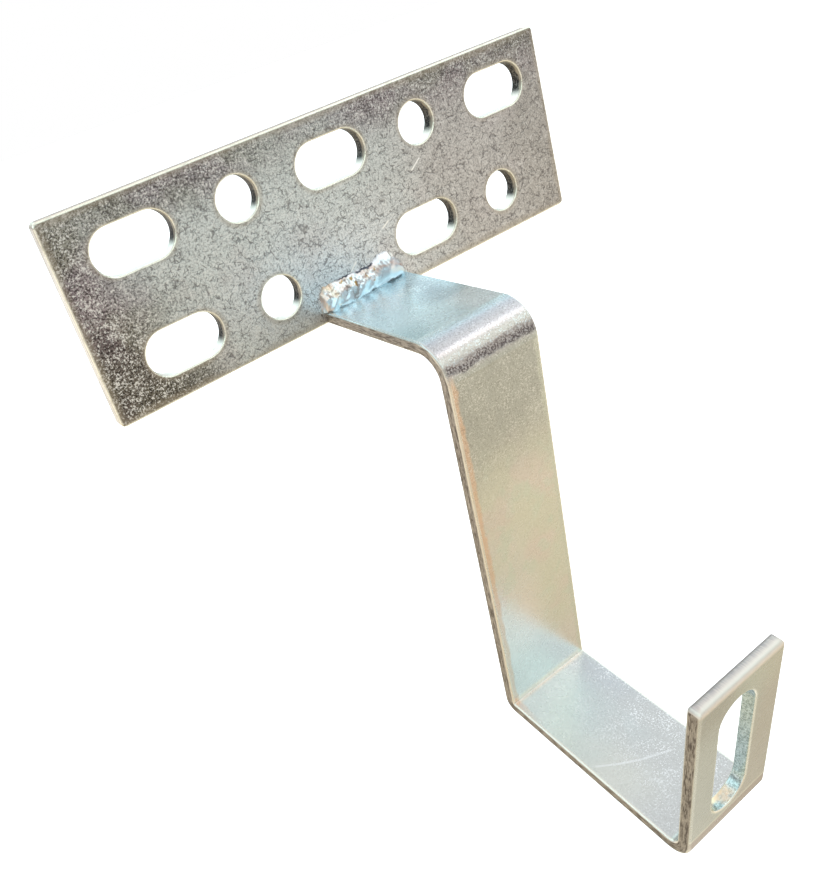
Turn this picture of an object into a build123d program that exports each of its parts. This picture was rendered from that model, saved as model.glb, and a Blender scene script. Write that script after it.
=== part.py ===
from build123d import *
from math import cos, radians, sin
import os

# Roof bracket in millimetres: a punched base plate with a hook arm of bent flat bar welded to its face.
#
# Frame: +Z up, +X along the plate, +Y into the surface that the plate is screwed to.
# The origin is the centre of the plate's rear face, so the plate fills y = -PLATE_THICKNESS .. 0.
# The arm leaves the plate's front face along -Y, drops, runs out again and ends in an upturned flange.

# ---- base plate ----
PLATE_LENGTH = 160.0
PLATE_WIDTH = 55.0
PLATE_THICKNESS = 4.0
PLATE_CORNER = 1.5
PLATE_FRONT_EDGE = 0.6
PLATE_REAR_EDGE = 0.3

# ---- punched holes: round holes and slots alternate along two rows ----
HOLE_DIAMETER = 12.0
SLOT_LENGTH = 22.5
SLOT_WIDTH = 12.5
HOLE_EDGE = 0.4
ROW_HEIGHT = 14.5
TOP_ROW_PITCH = 30.0
TOP_ROW_CENTRE = 1.0
BOTTOM_INNER_X = 26.0
BOTTOM_OUTER_X = 56.0

# ---- hook arm: one flat bar, bent three times ----
BAR_WIDTH = 30.0
BAR_THICKNESS = 3.5
BAR_EDGE = 0.7
# Each run of the bar: its length between bend corners, and its slope above the outward direction.
RUNS = [
    (49.5, -3.0),    # reach, out from the plate
    (121.5, -95.0),  # drop
    (59.5, -10.0),   # floor of the hook
    (58.5, 79.5),    # upturned flange
]
BEND_RADII = [8.0, 2.0, 4.5]   # at the bar's centreline
# The flange's straight free end: its corners are cut round and its tip is worn rounder than the other edges.
FLANGE_LENGTH = 53.0
END_CORNER = 2.0
TIP_EDGE = 1.6

# ---- slot in the flange, punched a little off the middle ----
FLANGE_SLOT_LENGTH = 43.0
FLANGE_SLOT_WIDTH = 13.0
FLANGE_SLOT_END_MARGIN = 6.5
FLANGE_SLOT_X = -0.75
FLANGE_SLOT_EDGE = 0.5

# ---- welds ----
UPPER_WELD_PLATE_LEG = 6.5
UPPER_WELD_ARM_LEG = 3.5
UPPER_WELD_BULGE = 0.5
LOWER_WELD_LENGTH = 24.0
LOWER_WELD_HALF_WIDTH = 2.5
LOWER_WELD_HEIGHT = 1.2

os.makedirs("parts", exist_ok=True)


def outward(slope):
    """Unit (y, z) step along a run of the bar that climbs at `slope` degrees from straight out."""
    return (-cos(radians(slope)), sin(radians(slope)))


def step(point, direction, distance):
    """The (y, z) point at `distance` from `point` along `direction`."""
    return (point[0] + direction[0] * distance, point[1] + direction[1] * distance)


plate_front_y = -PLATE_THICKNESS
plate_bottom_z = -PLATE_WIDTH / 2

# The bar's underside meets the plate's front face level with the plate's lower edge.
arm_root = (plate_front_y, plate_bottom_z + BAR_THICKNESS / 2)
bar_corners = [arm_root]
for run_length, run_slope in RUNS:
    bar_corners.append(step(bar_corners[-1], outward(run_slope), run_length))

top_slot_xs = [TOP_ROW_CENTRE - 2 * TOP_ROW_PITCH, TOP_ROW_CENTRE, TOP_ROW_CENTRE + 2 * TOP_ROW_PITCH]
top_hole_xs = [TOP_ROW_CENTRE - TOP_ROW_PITCH, TOP_ROW_CENTRE + TOP_ROW_PITCH]
bottom_slot_xs = [-BOTTOM_OUTER_X, BOTTOM_INNER_X]
bottom_hole_xs = [-BOTTOM_INNER_X, BOTTOM_OUTER_X]
slot_centres = [(x, ROW_HEIGHT) for x in top_slot_xs] + [(x, -ROW_HEIGHT) for x in bottom_slot_xs]
hole_centres = [(x, ROW_HEIGHT) for x in top_hole_xs] + [(x, -ROW_HEIGHT) for x in bottom_hole_xs]

# ---- base plate: punched from the front, so its front edges are rolled over ----
with BuildPart() as base_plate:
    with BuildSketch(Plane.XZ):
        RectangleRounded(PLATE_LENGTH, PLATE_WIDTH, PLATE_CORNER)
        with Locations(*slot_centres):
            SlotOverall(SLOT_LENGTH, SLOT_WIDTH, mode=Mode.SUBTRACT)
        with Locations(*hole_centres):
            Circle(HOLE_DIAMETER / 2, mode=Mode.SUBTRACT)
    extrude(amount=PLATE_THICKNESS)
    fillet(base_plate.faces().sort_by(Axis.Y)[0].outer_wire().edges(), PLATE_FRONT_EDGE)
    hole_rims = base_plate.faces().sort_by(Axis.Y)[0].inner_wires()
    fillet([edge for rim in hole_rims for edge in rim.edges()], HOLE_EDGE)
    fillet(base_plate.faces().sort_by(Axis.Y)[-1].outer_wire().edges(), PLATE_REAR_EDGE)

# ---- flange end: the bar's last straight stretch, with its slot and rounded free end ----
flange_direction = outward(RUNS[-1][1])
flange_tip = bar_corners[-1]
# Plane of the flange's middle at its tip: +X across the bar, +Y towards the tip.
flange_plane = Plane(
    origin=(0, *flange_tip),
    x_dir=(1, 0, 0),
    z_dir=Vector(1, 0, 0).cross(Vector(0, *flange_direction)),
)
# The same place seen from the side: +X towards the tip, +Y through the bar's thickness.
side_plane = Plane(origin=(0, *flange_tip), x_dir=(0, *flange_direction), z_dir=(1, 0, 0))
flange_slot_y = -FLANGE_SLOT_END_MARGIN - FLANGE_SLOT_LENGTH / 2


def beyond_the_joint(edge):
    """True unless the edge lies where the flange end joins the rest of the bar."""
    return flange_plane.to_local_coords(edge.center()).Y > BAR_EDGE - FLANGE_LENGTH


with BuildPart() as flange_end:
    with BuildSketch(flange_plane):
        with Locations((0, -FLANGE_LENGTH / 2)):
            Rectangle(BAR_WIDTH, FLANGE_LENGTH)
        fillet(vertices().sort_by(Axis.Y)[-2:], END_CORNER)
        with Locations((FLANGE_SLOT_X, flange_slot_y)):
            SlotOverall(FLANGE_SLOT_LENGTH, FLANGE_SLOT_WIDTH, rotation=90, mode=Mode.SUBTRACT)
    extrude(amount=BAR_THICKNESS / 2, both=True)
    slot_rims = [face.inner_wires()[0] for face in flange_end.faces().sort_by(SortBy.AREA)[-2:]]
    fillet([edge for rim in slot_rims for edge in rim.edges()], FLANGE_SLOT_EDGE)
    outer_rims = [face.outer_wire() for face in flange_end.faces().sort_by(SortBy.AREA)[-2:]]
    fillet([edge for rim in outer_rims for edge in rim.edges() if beyond_the_joint(edge)], BAR_EDGE)
    # Seen from the side, the tip is rounded across the bar's thickness.
    with BuildSketch(side_plane):
        with Locations((-FLANGE_LENGTH, 0)):
            RectangleRounded(2 * FLANGE_LENGTH, BAR_THICKNESS, TIP_EDGE)
    extrude(amount=BAR_WIDTH / 2, both=True, mode=Mode.INTERSECT)

# ---- hook arm: the bar's rounded section swept along its bent centreline, up to the flange end ----
with BuildPart() as hook_arm:
    # The bar starts inside the plate's thickness and is then cut off flush with the front face.
    inner_start = step(arm_root, outward(RUNS[0][1]), -PLATE_THICKNESS / 2)
    flange_start = step(flange_tip, flange_direction, -FLANGE_LENGTH)
    with BuildLine(Plane.YZ) as centreline:
        FilletPolyline(inner_start, *bar_corners[1:-1], flange_start, radius=BEND_RADII)
    bar_start = centreline.line @ 0
    with BuildSketch(Plane(origin=bar_start, x_dir=(1, 0, 0), z_dir=centreline.line % 0)):
        RectangleRounded(BAR_WIDTH, BAR_THICKNESS, BAR_EDGE)
    sweep()
    split(bisect_by=Plane.XZ.offset(PLATE_THICKNESS), keep=Keep.TOP)
    add(flange_end.part)

# ---- upper weld: a fillet bead between the plate's face and the top of the bar ----
reach_direction = outward(RUNS[0][1])
reach_slope = RUNS[0][1]
bar_top_root = (plate_front_y, arm_root[1] + BAR_THICKNESS / 2 / cos(radians(reach_slope)))
weld_on_plate = step(bar_top_root, (0, 1), UPPER_WELD_PLATE_LEG)
weld_on_bar = step(bar_top_root, reach_direction, UPPER_WELD_ARM_LEG)

with BuildPart() as weld_upper:
    with BuildSketch(Plane.YZ):
        with BuildLine():
            Polyline(weld_on_plate, bar_top_root, weld_on_bar)
            SagittaArc(weld_on_bar, weld_on_plate, UPPER_WELD_BULGE)
        make_face()
    extrude(amount=BAR_WIDTH / 2, both=True)

# ---- lower weld: a flat seam that closes the joint from below ----
seam_on_plate = (plate_front_y + LOWER_WELD_HALF_WIDTH, plate_bottom_z)
bar_underside = (plate_front_y, arm_root[1] - BAR_THICKNESS / 2 / cos(radians(reach_slope)))
seam_on_bar = step(bar_underside, reach_direction, LOWER_WELD_HALF_WIDTH)
seam_crown = (plate_front_y, plate_bottom_z - LOWER_WELD_HEIGHT)

with BuildPart() as weld_lower:
    with BuildSketch(Plane.YZ):
        with BuildLine():
            Polyline(seam_on_plate, bar_underside, seam_on_bar)
            ThreePointArc(seam_on_bar, seam_crown, seam_on_plate)
        make_face()
    extrude(amount=LOWER_WELD_LENGTH / 2, both=True)

base_plate.part.label = "base_plate"
hook_arm.part.label = "hook_arm"
weld_upper.part.label = "weld_upper"
weld_lower.part.label = "weld_lower"
for piece in (base_plate, hook_arm, weld_upper, weld_lower):
    export_step(piece.part, f"parts/{piece.part.label}.step")
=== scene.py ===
from math import cos, radians, sin, tan
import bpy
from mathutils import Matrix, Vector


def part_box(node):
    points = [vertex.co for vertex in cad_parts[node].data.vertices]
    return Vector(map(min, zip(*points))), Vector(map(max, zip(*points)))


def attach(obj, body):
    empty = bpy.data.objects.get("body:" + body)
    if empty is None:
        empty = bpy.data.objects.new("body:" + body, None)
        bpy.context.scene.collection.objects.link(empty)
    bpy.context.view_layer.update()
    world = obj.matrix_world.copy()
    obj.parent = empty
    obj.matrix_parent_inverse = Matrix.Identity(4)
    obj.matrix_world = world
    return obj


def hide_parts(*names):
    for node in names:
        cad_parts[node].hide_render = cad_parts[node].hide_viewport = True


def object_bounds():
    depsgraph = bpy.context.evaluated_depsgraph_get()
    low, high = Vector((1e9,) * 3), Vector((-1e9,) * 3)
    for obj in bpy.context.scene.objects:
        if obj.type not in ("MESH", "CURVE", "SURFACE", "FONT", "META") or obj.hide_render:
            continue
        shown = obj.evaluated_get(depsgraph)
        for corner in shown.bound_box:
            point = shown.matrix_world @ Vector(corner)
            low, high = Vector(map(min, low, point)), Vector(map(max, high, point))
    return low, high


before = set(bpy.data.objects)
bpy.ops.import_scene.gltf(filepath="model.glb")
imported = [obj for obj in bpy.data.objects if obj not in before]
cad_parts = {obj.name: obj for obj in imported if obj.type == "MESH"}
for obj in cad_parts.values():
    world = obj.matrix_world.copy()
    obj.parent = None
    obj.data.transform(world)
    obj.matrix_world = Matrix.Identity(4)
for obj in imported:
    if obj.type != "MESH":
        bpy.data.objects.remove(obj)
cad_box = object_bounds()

from types import SimpleNamespace

import bmesh
import bpy
from mathutils import Matrix, Vector, noise

MM = 0.001

# ---- camera: where it stands, which way it looks and how far it is rolled ----
CAMERA_PLACE = Vector((-118.16, -207.90, 50.90)) * MM
CAMERA_AZIMUTH = radians(23.79)     # turned from +Y towards +X
CAMERA_PITCH = radians(-23.87)
CAMERA_ROLL = radians(18.93)        # clockwise, as seen from behind the camera
CAMERA_LENS = 34.38
CAMERA_SHIFT = (0.1191, -0.0423)

# ---- light: what the metal mirrors at each height, as (height from 0 below to 1 above, colour) ----
SURROUNDINGS = [
    (0.00, (1.00, 0.97, 0.88)),
    (0.03, (0.84, 0.82, 0.72)),
    (0.08, (0.63, 0.61, 0.49)),
    (0.16, (0.86, 0.76, 0.58)),
    (0.29, (1.00, 0.93, 0.79)),
    (0.40, (1.10, 1.09, 1.05)),
    (0.475, (0.80, 0.80, 0.80)),
    (0.51, (0.30, 0.27, 0.29)),
    (0.59, (0.32, 0.30, 0.34)),
    (0.65, (1.06, 1.38, 1.48)),
    (0.74, (1.22, 1.56, 1.64)),
    (0.85, (1.00, 1.10, 1.20)),
    (0.94, (0.84, 0.88, 0.91)),
    (1.00, (0.80, 0.84, 0.92)),
]
# A weak dark patch: which way it lies, its colour and strength, and where it starts and is full, as cosines.
DARK_SIDE = Vector((-0.30, -0.92, -0.20))
DARK_COLOUR = (0.20, 0.17, 0.17)
DARK_SHADE = 0.35
DARK_EDGES = (0.70, 0.98)
# A small key light for glints, and a wide sun that the metal doesn't mirror, for the floor.
KEY_SIDE = (0.55, -0.38, 0.74)
KEY_DISTANCE = 0.9
KEY_SIZE = 0.15
KEY_POWER = 0.20
WASH_POWER = 3.0
WASH_ANGLE = radians(80)

# ---- floor ----
FLOOR_DROP = 60 * MM
FLOOR_HALF_SIZE = 6.0
FLOOR_COLOUR = (0.93, 0.93, 0.93, 1.0)
FLOOR_ROUGHNESS = 0.9

# ---- the plate's extents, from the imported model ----
PLATE_LOW, PLATE_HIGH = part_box("base_plate")

# ---- layout of the bracket, as modelled in the CAD frame ----
# The plate's holes, each as its (x, z) middle, half the straight run of a slot, and radius.
PLATE_HOLES = [
    ((x * MM, z * MM), half_run * MM, radius * MM)
    for x, z, half_run, radius in (
        (-59, 14.5, 5.0, 6.25), (1, 14.5, 5.0, 6.25), (61, 14.5, 5.0, 6.25),
        (-56, -14.5, 5.0, 6.25), (26, -14.5, 5.0, 6.25),
        (-29, 14.5, 0.0, 6.0), (31, 14.5, 0.0, 6.0),
        (-26, -14.5, 0.0, 6.0), (56, -14.5, 0.0, 6.0),
    )
]
# The bar's centreline as (y, z) corners in millimetres, with the radius of each bend between them.
BAR_CORNERS = [(-4.0, -25.75), (-53.43, -28.34), (-42.84, -149.38), (-101.44, -159.71), (-112.10, -102.19)]
BAR_BENDS = [8.0, 2.0, 4.5]
BEND_STEPS = 3
FIRST_BEND_CENTRE = (-44.74 * MM, -35.90 * MM)
# The flange in the (y, z) plane: up along it, its tip, and away from the plate. Rises count from the tip.
FLANGE_SLOPE = radians(79.5)
FLANGE_UP = (-cos(FLANGE_SLOPE), sin(FLANGE_SLOPE))
FLANGE_TIP = (BAR_CORNERS[-1][0] * MM, BAR_CORNERS[-1][1] * MM)
FLANGE_TIP_RISE = FLANGE_TIP[0] * FLANGE_UP[0] + FLANGE_TIP[1] * FLANGE_UP[1]
FLANGE_OUT = (-sin(FLANGE_SLOPE), -cos(FLANGE_SLOPE))
FLANGE_MIDDLE = FLANGE_TIP[0] * FLANGE_OUT[0] + FLANGE_TIP[1] * FLANGE_OUT[1]
FLANGE_SLOT_MIDDLE = -28.0 * MM
FLANGE_SLOT_HALF_RUN = 15.0 * MM
FLANGE_SLOT_RADIUS = 6.5 * MM
FLANGE_SLOT_X = -0.75 * MM
# Where the painted highlight line on the flange's bend lies.
BEND_HIGHLIGHT_RISE = -51.1 * MM

# ---- upper weld bead, in millimetres ----
PLATE_FACE = -4.0        # Y of the plate's front face
BAR_TOP_ROOT = -24.0     # Z of the bar's top where it meets that face
BAR_DROP = 0.0524        # the bar's top falls this much for each millimetre outwards
BEAD_LEFT, BEAD_RIGHT = -15.5, 14.9
BEAD_STATIONS = 150
BEAD_STEPS = 30
BEAD_SINK = 0.25         # how deep its hidden corners reach into plate and bar
# Z of its toe on the plate, at stations along X.
BEAD_TOP = [
    (-15.5, -22.0), (-14.6, -18.6), (-13.2, -17.1), (-9.0, -17.1), (-5.0, -17.0), (-1.0, -16.9),
    (3.0, -17.3), (5.0, -16.5), (7.0, -15.5), (9.6, -15.4), (11.2, -16.3), (13.0, -19.2),
    (14.3, -22.6), (14.9, -23.6),
]
# Y of its toe on the bar.
BEAD_REACH = [
    (-15.5, -4.5), (-14.6, -6.0), (-13.0, -6.9), (-10.4, -5.9), (-8.0, -6.4), (-4.8, -6.5),
    (-1.6, -5.7), (4.0, -5.0), (8.6, -5.5), (13.0, -5.0), (14.9, -4.4),
]
# How far it bulges between its toes, and how strong its lumps are.
BEAD_CROWN = [(-15.5, 0.1), (-14.2, 0.8), (-6.0, 0.9), (3.0, 0.9), (8.0, 1.4), (12.5, 1.2), (14.9, 0.15)]
BEAD_ROUGH = [(-15.5, 0.3), (-14.0, 1.0), (2.0, 1.0), (7.0, 0.45), (12.0, 0.3), (14.9, 0.1)]

# ---- lower weld seam, in millimetres ----
SEAM_LENGTH = 24.0
SEAM_HALF_WIDTH = 2.4
SEAM_HEIGHT = 1.0
SEAM_SINK = 0.4
SEAM_STATIONS = 70
SEAM_STEPS = 12

# ---- marks on the plate's face ----
TOP_PALE_X = -7 * MM     # where the dark top edge is palest
# A paler area around the weld: the ellipse's (x, z) middle and how far it reaches along each.
WELD_PALE_MIDDLE = (-4 * MM, -18 * MM)
WELD_PALE_SIZE = (46 * MM, 23 * MM)
# Short scratches, each from one (x, z) point to another.
BRIGHT_SCRATCHES = [
    ((25.6 * MM, 2.6 * MM), (29.0 * MM, 4.9 * MM)),
    ((11.0 * MM, -9.2 * MM), (13.3 * MM, -8.0 * MM)),
    ((-3.1 * MM, -16.8 * MM), (-0.6 * MM, -14.8 * MM)),
]
# Sets of hairlines, each as cell size, line width, share kept and offset.
CRAZING = [
    (5.6 * MM, 0.20 * MM, 0.40, (0.0, 0.0, 0.0)),
    (3.1 * MM, 0.17 * MM, 0.45, (2.0, 0.4, 0.9)),
    (1.8 * MM, 0.14 * MM, 0.50, (3.3, 0.4, 0.9)),
]

# ---- marks on the bar ----
# A long faint scratch on the hook's floor and the grey patch on the reach, each as (x, y) points.
FLOOR_SCRATCH = [
    (-12.8 * MM, -73.4 * MM), (-8.7 * MM, -76.2 * MM), (-2.7 * MM, -79.6 * MM), (5.6 * MM, -83.0 * MM),
]
GREY_PATCH = ((10.5 * MM, -17.0 * MM), (7.0 * MM, -27.0 * MM))

# ---- the painted edge highlights, the plate's sides and the flange's tip scatter more and mirror less than the rest of the plating ----
PLATE_EDGE_METALLIC = 0.82
BAR_EDGE_METALLIC = 0.90


def display(red, green, blue):
    """A linear colour from the 0-255 values that a screen shows."""
    def linear(channel):
        c = channel / 255
        return c / 12.92 if c <= 0.04045 else ((c + 0.055) / 1.055) ** 2.4
    return (linear(red), linear(green), linear(blue))


# ---- tones of the plating ----
PLATE_TONES = {
    "middle": display(222, 227, 223),
    "weld": display(232, 236, 236),
    "right": display(206, 201, 195),
    "far right": display(192, 186, 178),
    "violet": display(160, 146, 148),
    "olive": display(160, 156, 142),
    "pink": display(206, 196, 192),
    "corner": display(104, 98, 86),
    "halo": display(180, 168, 148),
    # painted highlight along hole edges and outer edges
    "rim": display(250, 242, 220),
    "dark grain": display(40, 33, 32),
    "bright grain": display(254, 252, 246),
    "hairline": display(74, 68, 68),
    "sheared": display(238, 229, 216),
    # painted highlight tint for the plate's top face
    "top highlight tint": display(228, 206, 186),
    "sheared streak": display(184, 168, 148),
    "sheared back": display(178, 172, 162),
    "punched": display(40, 38, 36),
    "punched grain": display(112, 108, 100),
    # painted highlight on hole walls that face upwards
    "lower wall highlight": display(255, 250, 238),
}
BAR_TONES = {
    "plain": display(230, 228, 220),
    "olive": display(226, 226, 212),
    "pink": display(234, 222, 216),
    "green": display(218, 228, 214),
    "drop top": display(189, 191, 185),
    # painted reflection of the hook's floor
    "drop left reflection": display(242, 234, 226),
    "drop foot": display(231, 225, 218),
    "crease": display(240, 231, 218),
    # blue partly the plating's own and partly a painted reflection of the sky
    "reach": display(238, 247, 249),
    "reach near weld": display(218, 234, 240),
    "reach grey": display(188, 192, 196),
    "reach left": display(212, 226, 228),
    "reach right": display(255, 255, 255),
    "floor": display(218, 217, 212),
    "floor left": display(230, 229, 219),
    "floor near drop": display(220, 230, 227),
    "floor far corner": display(214, 217, 217),
    "flange left": display(212, 214, 209),
    "flange right": display(220, 209, 199),
    "flange top left": display(192, 180, 168),
    "peach": display(236, 200, 172),
    "pale": display(218, 222, 210),
    # painted highlight for the rolled edges, the sides' corners, the slot's edge and the flange's bend line
    "rim": display(250, 244, 228),
    "flank": display(202, 192, 180),
    "flank streak": display(112, 102, 95),
    "dark grain": display(112, 106, 98),
    "sparkle": display(255, 255, 252),
    # painted dark reflection of the horizon at the end of the first bend
    "horizon_band": display(170, 150, 146),
    "pit": display(58, 42, 48),
    "slot wall": display(216, 229, 226),
    "slot wall grain": display(164, 178, 174),
    # painted glints low in the flange's slot
    "glint": display(255, 229, 192),
    "tip": display(232, 220, 206),
    # painted shade on the flange's rounded tip, darkest at its back edge
    "tip shade": display(176, 166, 166),
    "tip back shade": display(150, 144, 140),
    # painted reflection on the outside of the flange's bend
    "flange bend reflection": display(206, 184, 176),
}
WELD_TONES = {
    "crest": display(250, 248, 246),
    "warm crest": display(238, 218, 206),
    "lower": display(222, 236, 240),
    "golden": display(190, 150, 98),
    "crust": display(242, 218, 194),
    "hollow": display(120, 98, 80),
    # painted shade in the creases along both toes
    "undercut_shade": display(46, 58, 74),
    "lower toe shade": display(60, 58, 60),
}
# Along the first bend, by the angle turned in degrees: pale blue, grey, brown, a light band, then grey:
# painted reflections of the sky, the key light and the horizon that the bend mirrors.
BEND_REFLECTION_TONES = [
    (0, display(248, 254, 254)),
    (8, display(231, 244, 246)),
    (16, display(211, 224, 226)),
    (24, display(210, 211, 213)),
    (36, display(222, 217, 215)),
    (44, display(201, 195, 194)),
    (54, display(212, 195, 182)),
    (64, display(210, 186, 172)),
    (72, display(226, 212, 200)),
    (78, display(192, 186, 180)),
    (84, display(190, 187, 178)),
    (90, display(185, 187, 179)),
]


# ======================================================================================
# Node helpers
# ======================================================================================

class Tree:
    """A material's or world's node tree, with one short call for each kind of node."""

    def __init__(self, owner):
        owner.use_nodes = True
        self.nodes = owner.node_tree.nodes
        self.links = owner.node_tree.links
        self.nodes.clear()

    def add(self, kind, **settings):
        """A new node with the settings given."""
        node = self.nodes.new(kind)
        for name, value in settings.items():
            setattr(node, name, value)
        return node

    def feed(self, socket, value):
        """Links an output socket, or sets a plain value."""
        if isinstance(value, bpy.types.NodeSocket):
            self.links.new(value, socket)
        elif value is not None:
            socket.default_value = value

    def locate(self):
        """Keeps the object coordinates, in metres in the bracket's frame, and their three parts."""
        self.place = self.add("ShaderNodeTexCoord").outputs["Object"]
        self.x, self.y, self.z = self.split(self.place)

    def split(self, vector):
        """The three parts of a vector."""
        parts = self.add("ShaderNodeSeparateXYZ")
        self.links.new(vector, parts.inputs[0])
        return parts.outputs[0], parts.outputs[1], parts.outputs[2]

    def math(self, operation, a, b=None, c=None, clamp=False):
        node = self.add("ShaderNodeMath", operation=operation, use_clamp=clamp)
        for socket, value in zip(node.inputs, (a, b, c)):
            self.feed(socket, value)
        return node.outputs[0]

    def chain(self, operation, values):
        """One operation carried through several values, from the first to the last."""
        result = values[0]
        for value in values[1:]:
            result = self.math(operation, result, value)
        return result

    def times(self, *values):
        return self.chain("MULTIPLY", values)

    def largest(self, *values):
        return self.chain("MAXIMUM", values)

    def smallest(self, *values):
        return self.chain("MINIMUM", values)

    def less(self, a, b):
        return self.math("SUBTRACT", a, b)

    def nudge(self, value, push, amount):
        """The value, moved by `amount` times `push`."""
        return self.math("MULTIPLY_ADD", push, amount, value)

    def centred(self, value):
        """A noise of 0..1 moved to -0.5..0.5."""
        return self.less(value, 0.5)

    def smooth(self, value, low, high):
        """0 below low, 1 above high, eased between; high may be less than low to run the other way."""
        node = self.add("ShaderNodeMapRange", interpolation_type="SMOOTHSTEP")
        self.feed(node.inputs["Value"], value)
        if low < high:
            ends = (low, high, 0.0, 1.0)
        else:
            ends = (high, low, 1.0, 0.0)
        for name, end in zip(("From Min", "From Max", "To Min", "To Max"), ends):
            node.inputs[name].default_value = end
        return node.outputs["Result"]

    def span(self, length, low, high):
        """The same for a length, with both ends in millimetres."""
        return self.smooth(length, low * MM, high * MM)

    def spread(self, value, low, high):
        """Carries 0..1 to low..high."""
        node = self.add("ShaderNodeMapRange")
        self.feed(node.inputs["Value"], value)
        node.inputs["To Min"].default_value = low
        node.inputs["To Max"].default_value = high
        return node.outputs["Result"]

    def noise(self, scale, detail=2.0, roughness=0.5, offset=None, place=None):
        """Noise of 0..1 with `scale` lumps to the metre, over the whole object unless `place` is given."""
        if place is None:
            place = self.place
        if offset is not None:
            place = self.shift(place, offset)
        node = self.add("ShaderNodeTexNoise", noise_dimensions="3D")
        self.feed(node.inputs["Vector"], place)
        node.inputs["Scale"].default_value = scale
        node.inputs["Detail"].default_value = detail
        node.inputs["Roughness"].default_value = roughness
        return node.outputs["Fac"]

    def grit(self, scale, offset=None):
        """Noise with much fine detail, for crystal grain."""
        return self.noise(scale, roughness=0.8, offset=offset)

    def shift(self, place, offset=(0.0, 0.0, 0.0), scale=(1.0, 1.0, 1.0)):
        """The place stretched, then moved, for a pattern that differs from others or runs one way."""
        node = self.add("ShaderNodeMapping")
        self.feed(node.inputs["Vector"], place)
        node.inputs["Location"].default_value = offset
        node.inputs["Scale"].default_value = scale
        return node.outputs["Vector"]

    def cell_borders(self, place, scale):
        """Distance to the nearest border between scattered cells."""
        node = self.add("ShaderNodeTexVoronoi", feature="DISTANCE_TO_EDGE")
        self.feed(node.inputs["Vector"], place)
        node.inputs["Scale"].default_value = scale
        return node.outputs["Distance"]

    def mix(self, factor, a, b):
        """Colour a where the factor is 0 and colour b where it is 1."""
        node = self.add("ShaderNodeMix", data_type="RGBA", clamp_factor=True)
        self.feed(node.inputs[0], factor)
        self.feed(node.inputs[6], as_colour(a))
        self.feed(node.inputs[7], as_colour(b))
        return node.outputs[2]

    def paint(self, body, tone, cover, strength=None):
        """The body with a tone laid over it where `cover` is 1, wholly or at a given strength."""
        if strength is not None:
            cover = self.times(cover, strength)
        return self.mix(cover, body, tone)

    def ramp(self, value, stops):
        """stops is a list of (position, colour)."""
        node = self.add("ShaderNodeValToRGB")
        elements = node.color_ramp.elements
        while len(elements) < len(stops):
            elements.new(0.5)
        for element, (position, colour) in zip(elements, stops):
            element.position = position
            element.color = as_colour(colour)
        self.feed(node.inputs["Fac"], value)
        return node.outputs["Color"]

    def bump(self, height, distance, strength, under=None):
        """A bumpy normal; `under` is the one that it is added to."""
        node = self.add("ShaderNodeBump")
        self.feed(node.inputs["Height"], height)
        node.inputs["Distance"].default_value = distance
        node.inputs["Strength"].default_value = strength
        if under is not None:
            self.links.new(under, node.inputs["Normal"])
        return node.outputs["Normal"]


def as_colour(value):
    """An RGB triple gets alpha 1; sockets and RGBA pass through."""
    if isinstance(value, (tuple, list)) and len(value) == 3:
        return (*value, 1.0)
    return value


def metal(tree, colour, roughness, normal, metallic):
    """A plated steel surface with the patterns given."""
    shader = tree.add("ShaderNodeBsdfPrincipled")
    tree.feed(shader.inputs["Metallic"], metallic)
    tree.feed(shader.inputs["Base Color"], colour)
    tree.feed(shader.inputs["Roughness"], roughness)
    tree.feed(shader.inputs["Normal"], normal)
    output = tree.add("ShaderNodeOutputMaterial")
    tree.links.new(shader.outputs["BSDF"], output.inputs["Surface"])


# ======================================================================================
# Distances and patterns
# ======================================================================================

def length_of(tree, a, b):
    """Length of the step (a, b)."""
    return tree.math("SQRT", tree.math("MULTIPLY_ADD", a, a, tree.times(b, b)))


def distance_to_slot(tree, across, along, centre, half_run, radius):
    """Distance from a slot's wall: 0 on the wall, positive outside. A round hole has no run."""
    past_run = tree.less(tree.math("ABSOLUTE", tree.less(across, centre[0])), half_run)
    past_run = tree.largest(past_run, 0.0)
    beside = tree.less(along, centre[1])
    return tree.less(length_of(tree, beside, past_run), radius)


def distance_to_stroke(tree, a, b, start, end):
    """Distance from a straight stroke between two points, in the plane of the coordinates a and b."""
    run = Vector(end) - Vector(start)
    along_a, along_b = run / run.length_squared
    from_a = tree.less(a, start[0])
    from_b = tree.less(b, start[1])
    share = tree.math("MULTIPLY_ADD", from_a, along_a, tree.times(from_b, along_b), clamp=True)
    return length_of(tree, tree.nudge(from_a, share, -run[0]), tree.nudge(from_b, share, -run[1]))


def distance_to_path(tree, a, b, path):
    """Distance from a line through several points."""
    strokes = zip(path, path[1:])
    return tree.smallest(*[distance_to_stroke(tree, a, b, start, end) for start, end in strokes])


def bent_path(corners, radii, steps):
    """Points along a line with rounded corners, in metres, from corners and radii in millimetres."""
    path = [Vector(corners[0]) * MM]
    for before, corner, after, radius in zip(corners, corners[1:], corners[2:], radii):
        corner = Vector(corner)
        back = (Vector(before) - corner).normalized()
        on = (Vector(after) - corner).normalized()
        half_angle = back.angle(on) / 2
        middle = corner + (back + on).normalized() * radius / sin(half_angle)
        start = corner + back * radius / tan(half_angle) - middle
        end = corner + on * radius / tan(half_angle) - middle
        for step in range(steps + 1):
            spoke = start.lerp(end, step / steps).normalized() * radius
            path.append((middle + spoke) * MM)
    path.append(Vector(corners[-1]) * MM)
    return path


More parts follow.
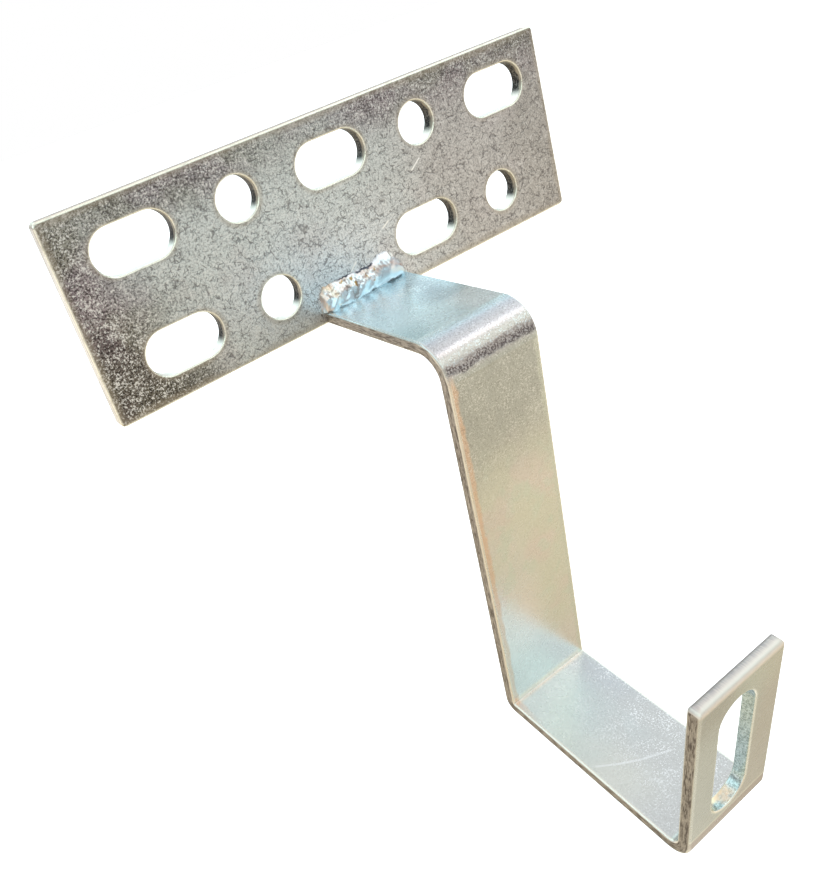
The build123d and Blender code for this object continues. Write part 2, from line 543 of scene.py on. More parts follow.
def bend_place(tree, place, scale, amount):
    """The same place, pushed about by a slow noise, so that straight patterns run crooked."""
    node = tree.add("ShaderNodeTexNoise", noise_dimensions="3D")
    tree.feed(node.inputs["Vector"], place)
    node.inputs["Scale"].default_value = scale
    centred = tree.add("ShaderNodeVectorMath", operation="SUBTRACT")
    tree.links.new(node.outputs["Color"], centred.inputs[0])
    centred.inputs[1].default_value = (0.5, 0.5, 0.5)
    pushed = tree.add("ShaderNodeVectorMath", operation="MULTIPLY_ADD")
    tree.links.new(centred.outputs[0], pushed.inputs[0])
    pushed.inputs[1].default_value = (amount, amount, amount)
    tree.feed(pushed.inputs[2], place)
    return pushed.outputs[0]


def crazing(tree, cell, width, keep, seed):
    """Short crooked hairs: cell borders bent out of shape, of which about the share `keep` is left."""
    crooked = bend_place(tree, tree.shift(tree.place, seed), 1.2 / cell, cell * 1.1)
    border = tree.cell_borders(crooked, 1.0 / cell)
    line = tree.smooth(border, width / cell, width / cell * 0.15)
    breaks = tree.noise(1.5 / cell, offset=seed)
    return tree.times(line, tree.smooth(breaks, 0.60 - 0.2 * keep, 0.66 - 0.2 * keep))


def edge_highlight(tree, distance, width):
    """1 on an edge that gets a painted highlight, fading out over `width` millimetres."""
    return tree.span(distance, width, width * 0.35)


def at_surface(tree, distance):
    """1 on a cut wall and 0 beside it, from the distance to it."""
    return tree.span(distance, 0.10, 0.03)


# ======================================================================================
# Plate
# ======================================================================================

def plate_zones(tree, drift):
    """The plate's slow changes of tone. Also how far each place is in its left end and in its dark edges."""
    tone = PLATE_TONES
    x_drift = tree.nudge(tree.x, drift, 34 * MM)
    z_drift = tree.nudge(tree.z, drift, 16 * MM)
    left = tree.span(tree.nudge(x_drift, tree.z, 0.35), -44, -78)
    top_middle = tree.span(tree.math("ABSOLUTE", tree.less(tree.x, TOP_PALE_X)), 24, 6)
    top = tree.times(tree.span(z_drift, 12, 27), tree.spread(top_middle, 0.80, 0.42))
    dark = tree.largest(left, top)
    corner = tree.span(tree.nudge(x_drift, tree.z, 1.3), -68, -100)

    # An ellipse of paler tone around the weld.
    across = tree.math("DIVIDE", tree.less(tree.x, WELD_PALE_MIDDLE[0]), WELD_PALE_SIZE[0])
    below = tree.math("DIVIDE", tree.less(tree.z, WELD_PALE_MIDDLE[1]), WELD_PALE_SIZE[1])
    by_weld = tree.smooth(tree.nudge(length_of(tree, across, below), drift, 0.8), 1.15, 0.35)

    body = tree.mix(by_weld, tone["middle"], tone["weld"])
    body = tree.paint(body, tone["right"], tree.span(x_drift, 4, 46))
    body = tree.paint(body, tone["far right"], tree.span(x_drift, 52, 74))
    blotch = tree.smooth(tree.noise(60, offset=(0.2, 0.5, 0.1)), 0.40, 0.60)
    body = tree.paint(body, tree.mix(blotch, tone["violet"], tone["olive"]), dark)
    pinkish = tree.smooth(tree.noise(85, offset=(0.9, 0.1, 0.6)), 0.50, 0.72)
    body = tree.paint(body, tone["pink"], pinkish, 0.30)
    body = tree.paint(body, tone["corner"], corner, 0.74)
    return body, left, dark


def plate_grain(tree, body, dark, fine, second, clusters):
    """Fine silver and dark points, gathered in loose clusters, strongest where the plate is dark."""
    strength = tree.spread(dark, 0.38, 1.0)
    dark_points = tree.smooth(tree.nudge(fine, clusters, 0.16), 0.53, 0.45)
    bright_points = tree.smooth(tree.nudge(second, clusters, 0.22), 0.54, 0.60)
    body = tree.paint(body, PLATE_TONES["dark grain"], tree.times(dark_points, strength), 0.80)
    return tree.paint(body, PLATE_TONES["bright grain"], tree.times(bright_points, strength), 0.80)


def plate_rims(tree, body, walls, outside, drift):
    """Beside holes and edges: a brown halo, then a painted highlight along the edge. Also where that
    highlight is.
    """
    halo = tree.span(tree.nudge(walls, drift, 3 * MM), 1.8, 0.4)
    tan_band = tree.span(tree.nudge(outside, drift, 3 * MM), 2.6, 0.8)
    stain = tree.largest(tree.times(halo, 0.40), tree.times(tan_band, 0.45))
    body = tree.paint(body, PLATE_TONES["halo"], stain)
    # Painted highlight along the holes' edges and the plate's outer edges, made uneven by noise.
    rims = tree.largest(edge_highlight(tree, walls, 0.55), edge_highlight(tree, outside, 0.80))
    highlight_unevenness = tree.smooth(tree.noise(260, offset=(0.5, 0.7, 0.2)), 0.30, 0.50)
    rims = tree.times(rims, tree.spread(highlight_unevenness, 0.70, 1.0))
    return tree.paint(body, PLATE_TONES["rim"], rims), rims


def sheared_sides(tree):
    """The plate's outer sides: pale, streaked along their length and duller at the back, with a warmer
    painted highlight tint on the top face.
    """
    tone = PLATE_TONES
    lengthwise = tree.shift(tree.place, scale=(0.04, 1.0, 0.04))
    streaks = tree.smooth(tree.noise(2600, place=lengthwise), 0.50, 0.36)
    on_top = tree.smooth(tree.z, PLATE_HIGH[2] - 0.10 * MM, PLATE_HIGH[2] - 0.03 * MM)
    # Warmer tint on the top face: painted highlight colour.
    side = tree.mix(on_top, tone["sheared"], tone["top highlight tint"])
    side = tree.paint(side, tone["sheared streak"], tree.times(streaks, tree.spread(on_top, 1.0, 0.5)))
    return tree.paint(side, tone["sheared back"], tree.span(tree.y, -1.4, -0.4))


def punched_walls(tree, second, clusters):
    """The walls of the plate's holes: charcoal with a lighter lip, and a painted highlight where they face
    upwards.
    """
    tone = PLATE_TONES
    wall = tree.mix(tree.smooth(second, 0.46, 0.60), tone["punched"], tone["punched grain"])
    lip = tree.span(tree.nudge(tree.y, clusters, 2.0 * MM), -2.4, -3.3)
    wall = tree.paint(wall, tone["halo"], lip, 0.8)
    facing = tree.split(tree.add("ShaderNodeNewGeometry").outputs["Normal"])
    # Painted highlight on the walls that face upwards.
    return tree.paint(wall, tone["lower wall highlight"], tree.smooth(facing[2], 0.45, 0.80))


def plate_scratches(tree, fine):
    """Scratches on the plate's face, bright enough to catch the eye."""
    strokes = [distance_to_stroke(tree, tree.x, tree.z, start, end) for start, end in BRIGHT_SCRATCHES]
    ragged = tree.nudge(tree.smallest(*strokes), tree.centred(fine), 0.5 * MM)
    return tree.times(tree.span(ragged, 0.32, 0.12), tree.span(tree.y, -2, -3))


def plate_material():
    """Zinc over hot-rolled plate: pale and crazed in the middle, dark and speckled towards its edges."""
    material = bpy.data.materials.new("zinc_on_plate")
    tree = Tree(material)
    tree.locate()
    drift = tree.centred(tree.noise(45, detail=3.0))
    fine = tree.grit(1750)
    second = tree.grit(1900, offset=(0.4, 0.2, 0.9))
    clusters = tree.centred(tree.noise(420, offset=(0.6, 0.1, 0.3)))

    body, left, dark = plate_zones(tree, drift)
    body = plate_grain(tree, body, dark, fine, second, clusters)
    web = tree.largest(*[crazing(tree, *hairs) for hairs in CRAZING])
    web = tree.times(web, tree.smooth(left, 0.9, 0.3))
    body = tree.paint(body, PLATE_TONES["hairline"], web, 0.62)

    walls = tree.smallest(*[distance_to_slot(tree, tree.x, tree.z, *hole) for hole in PLATE_HOLES])
    outside = tree.smallest(
        tree.less(PLATE_HIGH[0], tree.math("ABSOLUTE", tree.x)),
        tree.less(PLATE_HIGH[2], tree.math("ABSOLUTE", tree.z)),
    )
    body, rims = plate_rims(tree, body, walls, outside, drift)
    on_side = at_surface(tree, outside)
    on_wall = at_surface(tree, walls)
    body = tree.paint(body, sheared_sides(tree), on_side)
    body = tree.paint(body, punched_walls(tree, second, clusters), on_wall)
    body = tree.paint(body, PLATE_TONES["bright grain"], plate_scratches(tree, fine))

    roughness = tree.nudge(tree.spread(tree.noise(420), 0.30, 0.44), on_wall, 0.25)
    roughness = tree.times(roughness, tree.spread(rims, 1.0, 0.65))
    grain = tree.bump(fine, 0.05 * MM, 0.7)
    cracks = tree.bump(web, -0.05 * MM, 0.5, under=grain)
    waves = tree.bump(tree.noise(70, detail=1.0), 0.20 * MM, 0.35, under=cracks)
    less_metallic = tree.largest(rims, tree.times(on_side, tree.span(tree.y, -0.6, -1.6)))
    metal(tree, body, roughness, waves, tree.spread(less_metallic, 1.0, PLATE_EDGE_METALLIC))
    return material


# ======================================================================================
# Bar
# ======================================================================================

def bar_places(tree, drift):
    """Where on the bar the surface is.

    Each stretch is 1 inside and 0 outside. `turned` is the share of the first bend's quarter turn. `rise` is
    the length along the flange from its tip, and `outwards` the length from its middle away from the plate.
    """
    y, z = tree.y, tree.z
    out = tree.less(FIRST_BEND_CENTRE[0], y)
    up = tree.less(z, FIRST_BEND_CENTRE[1])
    reach = tree.times(tree.span(z, -33, -30), tree.span(y, -50, -46))
    rise = tree.nudge(tree.times(z, FLANGE_UP[1]), y, FLANGE_UP[0])
    outwards = tree.nudge(tree.times(z, FLANGE_OUT[1]), y, FLANGE_OUT[0])
    on_drop = tree.times(tree.span(z, -150, -147), tree.span(z, -33, -38), tree.span(y, -70, -60))
    floor = tree.times(tree.span(z, -146.5, -148), tree.span(y, -44.6, -46.6), tree.span(y, -103.5, -101))
    return SimpleNamespace(
        reach=reach,
        near_weld=tree.times(reach, tree.span(y, -36, -8)),
        bend=tree.times(tree.span(out, -0.6, 0.6), tree.span(up, -2.5, 0.5)),
        turned=tree.math("DIVIDE", tree.math("ARCTAN2", out, up), radians(90)),
        drop=on_drop,
        upper_drop=tree.span(tree.nudge(z, drift, 40 * MM), -72, -28),
        floor=floor,
        flange=tree.times(tree.span(y, -95, -97), tree.span(z, -158, -154)),
        rise=tree.less(rise, FLANGE_TIP_RISE),
        outwards=tree.less(outwards, FLANGE_MIDDLE),
    )


def drop_tones(tree, body, at):
    """The drop is darkest near its top and cooler at its foot, where a pale crease ends it; its lower left
    is painted lighter as the reflection of the hook's floor.
    """
    tone = BAR_TONES
    body = tree.paint(body, tone["drop top"], at.upper_drop)
    # Painted reflection of the hook's floor on the drop's lower left.
    hook_floor_reflection = tree.times(tree.span(tree.z, -100, -118), tree.span(tree.x, 7, -4))
    body = tree.paint(body, tone["drop left reflection"], hook_floor_reflection)
    body = tree.paint(body, tone["drop foot"], tree.span(tree.z, -124, -137))
    crease = tree.times(tree.span(tree.z, -145.6, -146.6), tree.span(tree.y, -42.0, -43.4))
    return tree.paint(body, tone["crease"], crease, 0.85)


def reach_tones(tree, at, patches):
    """The reach is the bluest stretch, partly the plating's own blue and partly a painted reflection of the
    sky, with a grey patch near the weld.
    """
    tone = BAR_TONES
    # The reach's blue: partly a painted reflection of the sky.
    body = tree.mix(at.near_weld, tone["reach"], tone["reach near weld"])
    right = tree.times(tree.span(tree.x, 2, 8), tree.span(tree.y, -30, -34))
    body = tree.paint(body, tone["reach right"], right)
    left = tree.times(tree.span(tree.x, -4, -12), tree.span(tree.y, -30, -42))
    body = tree.paint(body, tone["reach left"], left)
    gap = distance_to_stroke(tree, tree.x, tree.y, *GREY_PATCH)
    return tree.paint(body, tone["reach grey"], tree.span(tree.nudge(gap, patches, 3 * MM), 11.5, 2.0))


def floor_tones(tree, patches):
    """The floor of the hook is nearly neutral, and cooler towards the drop."""
    tone = BAR_TONES
    near_drop = tree.span(tree.nudge(tree.y, patches, 20 * MM), -70, -42)
    left = tree.times(tree.span(tree.x, 2, -10), tree.span(tree.y, -94, -80))
    front = tree.mix(left, tone["floor"], tone["floor left"])
    back = tree.mix(tree.span(tree.x, 2, 11), tone["floor near drop"], tone["floor far corner"])
    return tree.mix(near_drop, front, back)


def flange_tones(tree, body, at):
    """The flange is pinkish on the right and browner at the top left."""
    tone = BAR_TONES
    right = tree.span(tree.nudge(tree.x, at.rise, -0.15), 2, 14)
    top = tree.span(at.rise, -18, -4)
    body = tree.paint(body, tone["flange left"], at.flange, 0.75)
    body = tree.paint(body, tone["flange right"], tree.times(right, at.flange), 0.8)
    top_tone = tree.mix(tree.span(tree.x, 4, -8), tone["olive"], tone["flange top left"])
    return tree.paint(body, top_tone, tree.times(top, at.flange), 0.5)


def drop_strips(tree, body, at, small):
    """A peach strip runs down the drop beside its left edge, a pale green one beside its right edge."""
    ragged = tree.nudge(tree.x, tree.centred(small), 2.5 * MM)
    peach = tree.times(tree.span(ragged, -12.4, -13.4), at.drop)
    body = tree.paint(body, BAR_TONES["peach"], peach, 0.7)
    pale = tree.times(tree.span(ragged, 12.6, 13.6), at.drop)
    return tree.paint(body, BAR_TONES["pale"], pale, 0.6)


def bar_grain(tree, body, at, fine, second):
    """Faint dark points, and sparkle that is densest on the reach near the weld and on the hook's floor."""
    tone = BAR_TONES
    clusters = tree.centred(tree.noise(150, offset=(0.3, 0.1, 0.5)))
    dull = tree.largest(at.near_weld, at.upper_drop)
    points = tree.times(tree.smooth(fine, 0.50, 0.40), tree.spread(dull, 0.10, 0.28))
    body = tree.paint(body, tone["dark grain"], points)
    floor_right = tree.times(at.floor, tree.span(tree.nudge(tree.x, tree.y, -0.4), 14, 40))
    lively = tree.largest(at.near_weld, floor_right, tree.times(at.upper_drop, 0.30))
    sparkle = tree.smooth(tree.nudge(second, clusters, 0.30), 0.56, 0.62)
    body = tree.paint(body, tone["sparkle"], tree.times(sparkle, tree.spread(lively, 0.20, 0.90)))
    strokes = distance_to_path(tree, tree.x, tree.y, FLOOR_SCRATCH)
    return tree.paint(body, tone["sparkle"], tree.times(tree.span(strokes, 0.45, 0.15), at.floor), 0.5)


def painted_horizon_band(tree, body, at, small, second):
    """A band at the end of the first bend is painted dark as the reflection of the horizon, with dark pits
    in it. Also that band and its pits.
    """
    wobble = tree.nudge(at.turned, tree.centred(small), 0.24)
    band = tree.times(tree.smooth(wobble, 0.72, 0.82), tree.smooth(wobble, 0.94, 0.87), at.bend)
    pits = tree.times(band, tree.smooth(second, 0.54, 0.46))
    # Painted dark reflection of the horizon, then dark pits in it.
    body = tree.paint(body, BAR_TONES["horizon_band"], band, 0.35)
    return tree.paint(body, BAR_TONES["pit"], pits, 0.72), band, pits


def slot_tones(tree, body, at, small, second):
    """The flange's slot has a painted highlight along its edge and a bluish wall with painted golden glints
    low down. Also that highlight.
    """
    tone = BAR_TONES
    centre = (FLANGE_SLOT_MIDDLE, FLANGE_SLOT_X)
    gap = distance_to_slot(tree, at.rise, tree.x, centre, FLANGE_SLOT_HALF_RUN, FLANGE_SLOT_RADIUS)
    # Painted highlight along the slot's edge.
    rim = tree.times(edge_highlight(tree, gap, 0.8), at.flange)
    body = tree.paint(body, tone["rim"], rim, 0.85)
    wall_tone = tree.mix(tree.smooth(second, 0.55, 0.44), tone["slot wall"], tone["slot wall grain"])
    # Painted golden glints low on the slot's wall.
    glints = tree.times(tree.span(at.rise, -42, -45), tree.span(tree.x, 4.0, 1.5))
    glints = tree.times(glints, tree.smooth(small, 0.34, 0.50))
    wall_tone = tree.paint(wall_tone, tone["glint"], glints)
    return tree.paint(body, wall_tone, tree.times(at_surface(tree, gap), at.flange)), rim


def flange_ends(tree, body, at):
    """The flange's tip is brushed across its thickness and painted darker towards its back, as shade on its
    rounded end; the outside of its bend gets a painted reflection tone and a painted highlight line. Also
    the tip.
    """
    tone = BAR_TONES
    tip = tree.times(tree.span(at.rise, -2.2, -1.2), at.flange)
    brushed = tree.shift(tree.place, scale=(1.0, 0.06, 0.06))
    brushed = tree.smooth(tree.noise(2800, roughness=0.7, place=brushed), 0.34, 0.66)
    # Painted shade on the tip's rounded back half, streaked by the brushing.
    shade = tree.times(tree.span(at.outwards, 1.2, -0.9), tree.spread(brushed, 0.50, 1.0))
    body = tree.paint(body, tree.mix(shade, tone["tip"], tone["tip shade"]), tip, 0.9)
    # Painted shade along the tip's back edge.
    back = tree.times(tip, tree.span(at.outwards, -0.7, -1.3))
    body = tree.paint(body, tone["tip back shade"], back, 0.7)
    # Outside of the bend: a painted reflection tone, and a painted highlight line where the bend starts.
    outer_skin = tree.span(at.outwards, -0.2, 0.6)
    bend_reflection = tree.times(outer_skin, tree.span(at.rise, -50.9, -52.2))
    body = tree.paint(body, tone["flange bend reflection"], bend_reflection, 0.7)
    from_line = tree.math("ABSOLUTE", tree.less(at.rise, BEND_HIGHLIGHT_RISE))
    bend_highlight_line = tree.times(outer_skin, tree.span(from_line, 0.7, 0.2))
    return tree.paint(body, tone["rim"], bend_highlight_line, 0.6), tip


def bar_flank(tree, fine):
    """The bar's narrow sides: streaked lengthwise between two painted highlight lines along their corners.
    """
    tone = BAR_TONES
    from_middle = distance_to_path(tree, tree.y, tree.z, bent_path(BAR_CORNERS, BAR_BENDS, BEND_STEPS))
    layers = tree.add("ShaderNodeCombineXYZ")
    tree.feed(layers.inputs[0], from_middle)
    tree.feed(layers.inputs[1], tree.times(tree.y, 0.11))
    tree.feed(layers.inputs[2], tree.times(tree.z, 0.11))
    streaks = tree.smooth(tree.noise(3200, detail=3.0, roughness=0.75, place=layers.outputs[0]), 0.42, 0.60)
    gritty = tree.times(tree.smooth(fine, 0.56, 0.42), 0.35)
    side = tree.mix(tree.largest(streaks, gritty), tone["flank"], tone["flank streak"])
    # Painted highlight lines along both corners of the side.
    return tree.paint(side, tone["rim"], tree.span(from_middle, 1.10, 1.40), 0.85)


def bar_material():
    """Blue-bright zinc over smooth flat bar: satin, with faint straw, green and pink tints."""
    material = bpy.data.materials.new("zinc_on_bar")
    tree = Tree(material)
    tree.locate()
    tone = BAR_TONES
    drift = tree.noise(30)
    patches = tree.noise(75, offset=(0.7, 0.3, 0.2))
    small = tree.noise(170, detail=3.0, offset=(0.1, 0.9, 0.4))
    fine = tree.grit(1900)
    second = tree.grit(2000, offset=(0.1, 0.8, 0.3))
    at = bar_places(tree, drift)

    body = tree.mix(tree.smooth(drift, 0.40, 0.60), tone["olive"], tone["plain"])
    body = tree.paint(body, tone["pink"], tree.smooth(patches, 0.48, 0.64), 0.7)
    body = tree.paint(body, tone["green"], tree.smooth(small, 0.52, 0.66), 0.5)
    body = drop_tones(tree, body, at)
    body = tree.paint(body, reach_tones(tree, at, patches), at.reach)
    # The first bend's colour follows the angle turned: painted reflection bands of the sky, the key light
    # and the horizon.
    bend_reflection_stops = [(angle / 90, colour) for angle, colour in BEND_REFLECTION_TONES]
    body = tree.paint(body, tree.ramp(at.turned, bend_reflection_stops), at.bend)
    body = tree.paint(body, floor_tones(tree, patches), at.floor)
    body = flange_tones(tree, body, at)
    body = drop_strips(tree, body, at, small)
    body = bar_grain(tree, body, at, fine, second)
    body, horizon_band, pits = painted_horizon_band(tree, body, at, small, second)
    body, slot_rim = slot_tones(tree, body, at, small, second)
    body, tip = flange_ends(tree, body, at)

    # The rolled edges get a painted highlight, less so on the reach, the first bend and the flange.
    side = tree.math("ABSOLUTE", tree.x)
    duller = tree.largest(at.reach, at.bend, at.flange)
    rounded = tree.times(tree.span(side, 14.1, 14.5), tree.spread(duller, 0.75, 0.32))
    body = tree.paint(body, tone["rim"], rounded)
    flank = tree.span(side, 14.88, 14.96)
    body = tree.paint(body, bar_flank(tree, fine), flank)

    rough_parts = tree.largest(flank, horizon_band, tip)
    roughness = tree.nudge(tree.spread(tree.noise(300), 0.22, 0.32), rough_parts, 0.22)
    grain = tree.bump(fine, 0.03 * MM, 0.6)
    broken = tree.bump(tree.times(pits, -1.0), 0.10 * MM, 0.6, under=grain)
    waves = tree.bump(tree.noise(60, detail=1.0), 0.25 * MM, 0.25, under=broken)
    less_metallic = tree.times(tree.largest(rounded, slot_rim, tip), tree.smooth(flank, 1.0, 0.0))
    metal(tree, body, roughness, waves, tree.spread(less_metallic, 1.0, BAR_EDGE_METALLIC))
    return material


# ======================================================================================
# Welds and floor
# ======================================================================================

def weld_material():
    """Zinc over weld metal: craggy white above, smooth and bluish below, golden and dark in its hollows,
    with painted shade along its toes.
    """
    material = bpy.data.materials.new("zinc_on_weld")
    tree = Tree(material)
    tree.locate()
    tone = WELD_TONES
    across = tree.add("ShaderNodeAttribute", attribute_name="across").outputs["Fac"]
    height = tree.add("ShaderNodeAttribute", attribute_name="height").outputs["Fac"]
    patches = tree.noise(240)
    stains = tree.noise(380, offset=(0.3, 0.6, 0.8))
    fine = tree.grit(1700)

    body = tree.mix(tree.smooth(patches, 0.46, 0.62), tone["crest"], tone["warm crest"])
    lower = tree.smooth(tree.nudge(across, tree.centred(patches), 0.7), 0.50, 0.64)
    body = tree.paint(body, tone["lower"], lower)
    golden = tree.times(tree.smooth(stains, 0.58, 0.68), tree.smooth(lower, 0.8, 0.2))
    body = tree.paint(body, tone["golden"], golden)
    crust = tree.times(tree.span(tree.x, -7, -12), tree.smooth(stains, 0.42, 0.56))
    body = tree.paint(body, tone["crust"], crust, 0.8)

    # Hollows are dark and brownish. A bluish dark line along the middle of the upper toe, and a dark line
    # along the toe on the bar, are painted shade in the creases where the bead meets plate and bar.
    hollow = tree.smooth(tree.nudge(height, tree.centred(fine), 0.5), 0.34, 0.16)
    body = tree.paint(body, tone["hollow"], hollow, 0.55)
    toe = tree.nudge(across, tree.centred(stains), 0.35)
    undercut_shade = tree.times(tree.smooth(toe, 0.10, 0.05), tree.span(tree.x, 6, 3.5))
    undercut_shade = tree.times(undercut_shade, tree.smooth(patches, 0.44, 0.54), tree.span(tree.x, -10, -7))
    body = tree.paint(body, tone["undercut_shade"], undercut_shade, 0.9)
    lower_toe_shade = tree.times(tree.smooth(toe, 0.92, 0.97), tree.smooth(patches, 0.46, 0.54))
    body = tree.paint(body, tone["lower toe shade"], lower_toe_shade, 0.8)
    grain = tree.bump(fine, 0.04 * MM, 0.5)
    lumps = tree.bump(stains, 0.20 * MM, 0.5, under=grain)
    metal(tree, body, tree.spread(patches, 0.24, 0.38), lumps, 1.0)
    return material


def floor_material():
    """Matt, nearly white."""
    material = bpy.data.materials.new("pale_floor")
    tree = Tree(material)
    shader = tree.add("ShaderNodeBsdfPrincipled")
    shader.inputs["Base Color"].default_value = FLOOR_COLOUR
    shader.inputs["Roughness"].default_value = FLOOR_ROUGHNESS
    output = tree.add("ShaderNodeOutputMaterial")
    tree.links.new(shader.outputs["BSDF"], output.inputs["Surface"])
    return material


# ======================================================================================
# Weld beads
# ======================================================================================

def between(stations, x):
    """Eased value at x from a list of (x, value)."""
    for (x0, a), (x1, b) in zip(stations, stations[1:]):
        if x <= x1:
            share = min(max((x - x0) / (x1 - x0), 0.0), 1.0)
            share = share * share * (3 - 2 * share)
            return a + (b - a) * share
    return stations[-1][1]


def bead_relief(x, share):
    """Lumps and craters of the upper bead in mm, at x and at this share of the way from plate to bar."""
    lumps = 0.62 * noise.noise(Vector((x * 0.42 + share * 1.5, share * 1.7, 3.7)))
    ridges = 0.50 * (0.35 - abs(noise.noise(Vector((x * 0.95 - share * 2.0, share * 3.2, 9.1)))))
    crumbs = 0.22 * noise.noise(Vector((x * 2.6, share * 8.0, 1.3)))
    smooth_below = 1.0 - 0.75 * min(max((share - 0.50) / 0.2, 0.0), 1.0)
    return (lumps + ridges * smooth_below + crumbs * smooth_below) * between(BEAD_ROUGH, x)


def bead_ring(x):
    """Section of the upper bead at x: (y, z, across, height) points from its plate toe to its bar toe."""
    toe_out = between(BEAD_REACH, x)
    toe_waver = 0.35 * noise.noise(Vector((x * 1.9, 0.3, 7.7)))
    start = Vector((PLATE_FACE, between(BEAD_TOP, x) + toe_waver))
    end = Vector((toe_out, BAR_TOP_ROOT - (PLATE_FACE - toe_out) * BAR_DROP))
    run = end - start
    outward = Vector((run.y, -run.x)).normalized()
    if outward.x > 0:
        outward = -outward
    ring = []
    for step in range(BEAD_STEPS + 1):
        share = step / BEAD_STEPS
        bulge = between(BEAD_CROWN, x) * (4 * share * (1 - share)) ** 0.7
        fade = min(1.0, 6 * share, 6 * (1 - share))
        relief = bead_relief(x, share)
        lift = max(bulge + relief * fade, 0.03)
        spot = start + run * share + outward * lift
        ring.append((spot.x, spot.y, share, min(max(0.5 + relief, 0.0), 1.0)))
    ring.append((toe_out, end.y - BEAD_SINK, 1.0, 0.5))
    ring.append((PLATE_FACE + BEAD_SINK, BAR_TOP_ROOT - BEAD_SINK, 0.5, 0.5))
    ring.append((PLATE_FACE + BEAD_SINK, start.y, 0.0, 0.5))
    return ring


def seam_ring(x):
    """Section of the lower seam at x: it lies under the joint and its buried side is flat."""
    fullness = 0.25 + 0.75 * max(0.0, 1 - abs(2 * x / SEAM_LENGTH) ** 6) ** 0.5
    bottom = PLATE_LOW[2] / MM
    ring = []
    for step in range(SEAM_STEPS + 1):
        share = step / SEAM_STEPS * 2 - 1
        ripple = 0.16 * noise.noise(Vector((x * 1.3 + abs(share) * 1.2, share * 1.7, 5.5)))
        depth = (SEAM_HEIGHT + ripple) * (1 - share * share) * fullness
        ring.append((PLATE_FACE + share * SEAM_HALF_WIDTH, bottom - depth, 0.3, 0.5 + 2 * ripple))
    ring.append((PLATE_FACE + SEAM_HALF_WIDTH, bottom + SEAM_SINK, 0.3, 0.5))
    ring.append((PLATE_FACE - SEAM_HALF_WIDTH, bottom + SEAM_SINK, 0.3, 0.5))
    return ring


def add_bead(name, section, low, high, stations, material, stands_for):
    """A closed tube through its sections from x = low to high, in mm, capped at both ends."""
    form = bmesh.new()
    across = form.verts.layers.float.new("across")
    height = form.verts.layers.float.new("height")
    loops = []
    for station in range(stations + 1):
        x = low + (high - low) * station / stations
        loop = []
        for y, z, share, level in section(x):
            vertex = form.verts.new((x * MM, y * MM, z * MM))
            vertex[across] = share
            vertex[height] = level
            loop.append(vertex)
        loops.append(loop)
    for near, far in zip(loops, loops[1:]):
        for index in range(len(near)):
            after = (index + 1) % len(near)
            form.faces.new((near[index], near[after], far[after], far[index]))
    form.faces.new(loops[0][::-1])
    form.faces.new(loops[-1])
    bmesh.ops.triangulate(form, faces=[face for face in form.faces if len(face.verts) > 4])
    bmesh.ops.recalc_face_normals(form, faces=form.faces)
    mesh = bpy.data.meshes.new(name)
    form.to_mesh(mesh)
    form.free()
    mesh.shade_smooth()
    mesh.materials.append(material)
    piece = bpy.data.objects.new(name, mesh)
    bpy.context.scene.collection.objects.link(piece)
    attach(piece, "root")
    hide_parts(stands_for)


# ======================================================================================
# Stage
# ======================================================================================

def add_camera():
    forward = Vector((
        sin(CAMERA_AZIMUTH) * cos(CAMERA_PITCH),
        cos(CAMERA_AZIMUTH) * cos(CAMERA_PITCH),
        sin(CAMERA_PITCH),
    ))
    level_right = forward.cross(Vector((0, 0, 1))).normalized()
    level_up = level_right.cross(forward)
    up = level_up * cos(CAMERA_ROLL) + level_right * sin(CAMERA_ROLL)
    right = forward.cross(up)
    turn = Matrix((right, up, -forward)).transposed()
    data = bpy.data.cameras.new("camera")
    data.lens = CAMERA_LENS
    data.shift_x, data.shift_y = CAMERA_SHIFT
    data.clip_start = 0.01
    camera = bpy.data.objects.new("camera", data)
    camera.matrix_world = Matrix.Translation(CAMERA_PLACE) @ turn.to_4x4()
    bpy.context.scene.collection.objects.link(camera)
    bpy.context.scene.camera = camera


def add_floor():
    level = cad_box[0][2] - FLOOR_DROP
    mesh = bpy.data.meshes.new("floor")
    half = FLOOR_HALF_SIZE
    corners = [(-half, -half, level), (half, -half, level), (half, half, level), (-half, half, level)]
    mesh.from_pydata(corners, [], [(0, 1, 2, 3)])
    mesh.materials.append(floor_material())
    floor = bpy.data.objects.new("floor", mesh)
    bpy.context.scene.collection.objects.link(floor)
    floor.visible_glossy = False


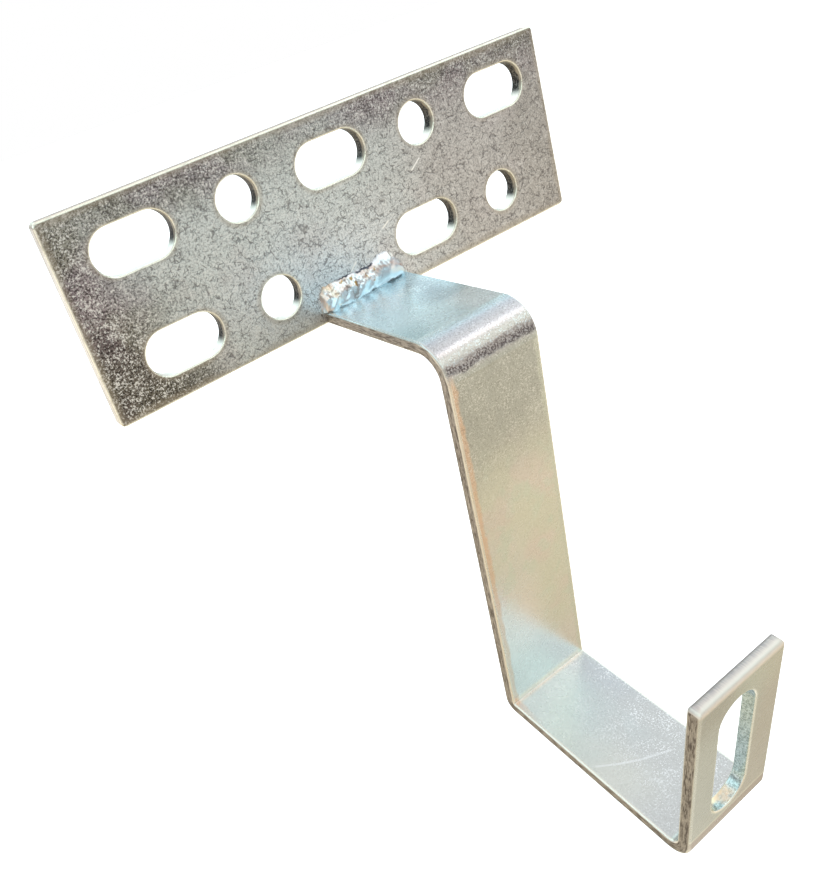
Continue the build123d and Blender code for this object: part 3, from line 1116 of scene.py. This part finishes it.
def add_world():
    """White to the camera. To the metal: warm ground, a dark horizon behind the camera, and a cool sky."""
    world = bpy.data.worlds.new("studio")
    bpy.context.scene.world = world
    tree = Tree(world)
    direction = tree.add("ShaderNodeTexCoord").outputs["Generated"]
    height = tree.nudge(0.5, tree.split(direction)[2], 0.5)
    surroundings = tree.ramp(height, SURROUNDINGS)
    behind = tree.add("ShaderNodeVectorMath", operation="DOT_PRODUCT")
    tree.links.new(direction, behind.inputs[0])
    behind.inputs[1].default_value = DARK_SIDE.normalized()
    shade = tree.smooth(behind.outputs["Value"], *DARK_EDGES)
    surroundings = tree.paint(surroundings, DARK_COLOUR, shade, DARK_SHADE)
    around = tree.add("ShaderNodeBackground")
    tree.links.new(surroundings, around.inputs["Color"])
    backdrop = tree.add("ShaderNodeBackground")
    backdrop.inputs["Color"].default_value = (1.0, 1.0, 1.0, 1.0)
    seen = tree.add("ShaderNodeLightPath").outputs["Is Camera Ray"]
    choice = tree.add("ShaderNodeMixShader")
    tree.links.new(seen, choice.inputs[0])
    tree.links.new(around.outputs[0], choice.inputs[1])
    tree.links.new(backdrop.outputs[0], choice.inputs[2])
    output = tree.add("ShaderNodeOutputWorld")
    tree.links.new(choice.outputs[0], output.inputs["Surface"])


def add_softbox(name, target, direction, distance, size, power):
    """A square area light at `distance` from `target` along `direction`, facing it."""
    data = bpy.data.lights.new(name, "AREA")
    data.energy = power
    data.size = size
    light = bpy.data.objects.new(name, data)
    step = Vector(direction).normalized()
    light.location = Vector(target) + step * distance
    light.rotation_euler = step.to_track_quat("Z", "Y").to_euler()
    bpy.context.scene.collection.objects.link(light)


def add_lights():
    middle = (Vector(cad_box[0]) + Vector(cad_box[1])) / 2
    add_softbox("key", middle, KEY_SIDE, KEY_DISTANCE, KEY_SIZE, KEY_POWER)
    data = bpy.data.lights.new("floor_wash", "SUN")
    data.energy = WASH_POWER
    data.angle = WASH_ANGLE
    wash = bpy.data.objects.new("floor_wash", data)
    wash.visible_glossy = False
    bpy.context.scene.collection.objects.link(wash)


# ======================================================================================
# Making the bracket
# ======================================================================================

def finish_node(name, material):
    """A CAD node keeps its shape and gets its finish."""
    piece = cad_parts[name]
    piece.data.materials.clear()
    piece.data.materials.append(material)


add_camera()
add_floor()
add_world()
add_lights()
finish_node("base_plate", plate_material())
finish_node("hook_arm", bar_material())
weld_finish = weld_material()
add_bead("weld_bead_upper", bead_ring, BEAD_LEFT, BEAD_RIGHT, BEAD_STATIONS, weld_finish, "weld_upper")
half_seam = SEAM_LENGTH / 2
add_bead("weld_seam_lower", seam_ring, -half_seam, half_seam, SEAM_STATIONS, weld_finish, "weld_lower")

bpy.context.scene.view_settings.view_transform = "Standard"
